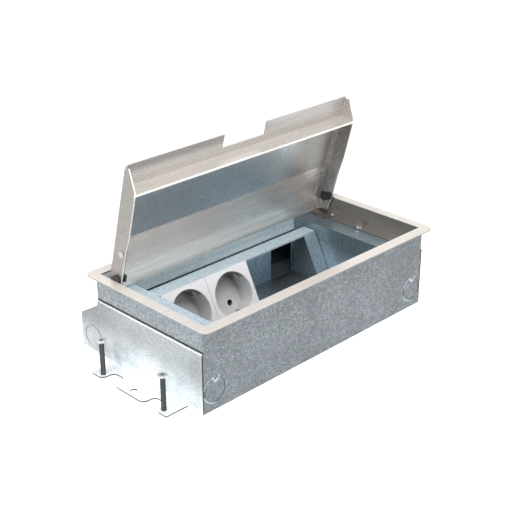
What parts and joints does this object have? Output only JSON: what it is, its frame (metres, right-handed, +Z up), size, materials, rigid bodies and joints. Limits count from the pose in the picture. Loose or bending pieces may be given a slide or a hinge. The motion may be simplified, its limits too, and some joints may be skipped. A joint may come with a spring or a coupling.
{
  "type": "floor socket box",
  "caption": "Sunken sheet-metal floor box with a stainless frame and a hinged lid, round earthed outlets on an inclined carrier, a cable duct and levelling feet.",
  "frame": {"origin": "on the base plane, midway between the two fixing holes in the end feet", "axes": "+X along the box's length to the right, +Y to the hinge and duct side, +Z up out of the floor"},
  "size_m": [0.2856, 0.1458, 0.1641],
  "materials": {
    "galvanised": "hot-dip galvanised sheet with a fine spangle",
    "galvanised_inner": "bright galvanised sheet, bluish",
    "stainless": "brushed stainless steel",
    "stainless_pin": "plain turned steel",
    "zinc_screw": "bright zinc plated",
    "white_plastic": "satin white moulding",
    "grey_plastic": "matt grey moulding",
    "black_plastic": "matt black moulding",
    "brass": "plain brass and copper alloy"
  },
  "bodies": {
    "box": {"housing": "galvanised", "cable_duct": "galvanised", "end_plate_left": "galvanised", "end_plate_right": "galvanised", "end_bracket_left": "galvanised_inner", "end_bracket_right": "galvanised_inner", "socket_carrier": "galvanised_inner", "carrier_screws": "zinc_screw", "floor_frame": "stainless", "frame_screws": "zinc_screw", "hinge_pins": "stainless_pin", "socket_cover_left": "white_plastic", "socket_cover_right": "white_plastic", "socket_base_left": "grey_plastic", "socket_base_right": "grey_plastic", "contact_sleeves_left": "brass", "contact_sleeves_right": "brass", "earth_clip_left": "brass", "earth_clip_right": "brass", "earth_stud": "brass", "earth_nut": "brass"},
    "lid": {"lid_cover": "stainless", "lid_stiffener": "galvanised_inner", "hinge_bracket_left": "galvanised_inner", "hinge_bracket_right": "galvanised_inner", "bracket_rivets": "stainless_pin", "friction_bush_left": "black_plastic", "friction_bush_right": "black_plastic"},
    "leveller_front_left": {"level_screw_front_left": "zinc_screw"},
    "leveller_rear_left": {"level_screw_rear_left": "zinc_screw"},
    "leveller_front_right": {"level_screw_front_right": "zinc_screw"},
    "leveller_rear_right": {"level_screw_rear_right": "zinc_screw"}
  },
  "joints": [
    {"name": "lid_hinge", "type": "hinge", "parent": "box", "child": "lid", "pos_m": [0, 0.0446, 0.0648], "axis": [1, 0, 0], "range_deg": [0, 75]},
    {"name": "leveller_front_left_travel", "type": "slide", "parent": "box", "child": "leveller_front_left", "axis": [0, 0, 1], "range_m": [-0.0265, 0]},
    {"name": "leveller_rear_left_travel", "type": "slide", "parent": "box", "child": "leveller_rear_left", "axis": [0, 0, 1], "range_m": [-0.0265, 0]},
    {"name": "leveller_front_right_travel", "type": "slide", "parent": "box", "child": "leveller_front_right", "axis": [0, 0, 1], "range_m": [-0.0265, 0]},
    {"name": "leveller_rear_right_travel", "type": "slide", "parent": "box", "child": "leveller_rear_right", "axis": [0, 0, 1], "range_m": [-0.0265, 0]}
  ]
}
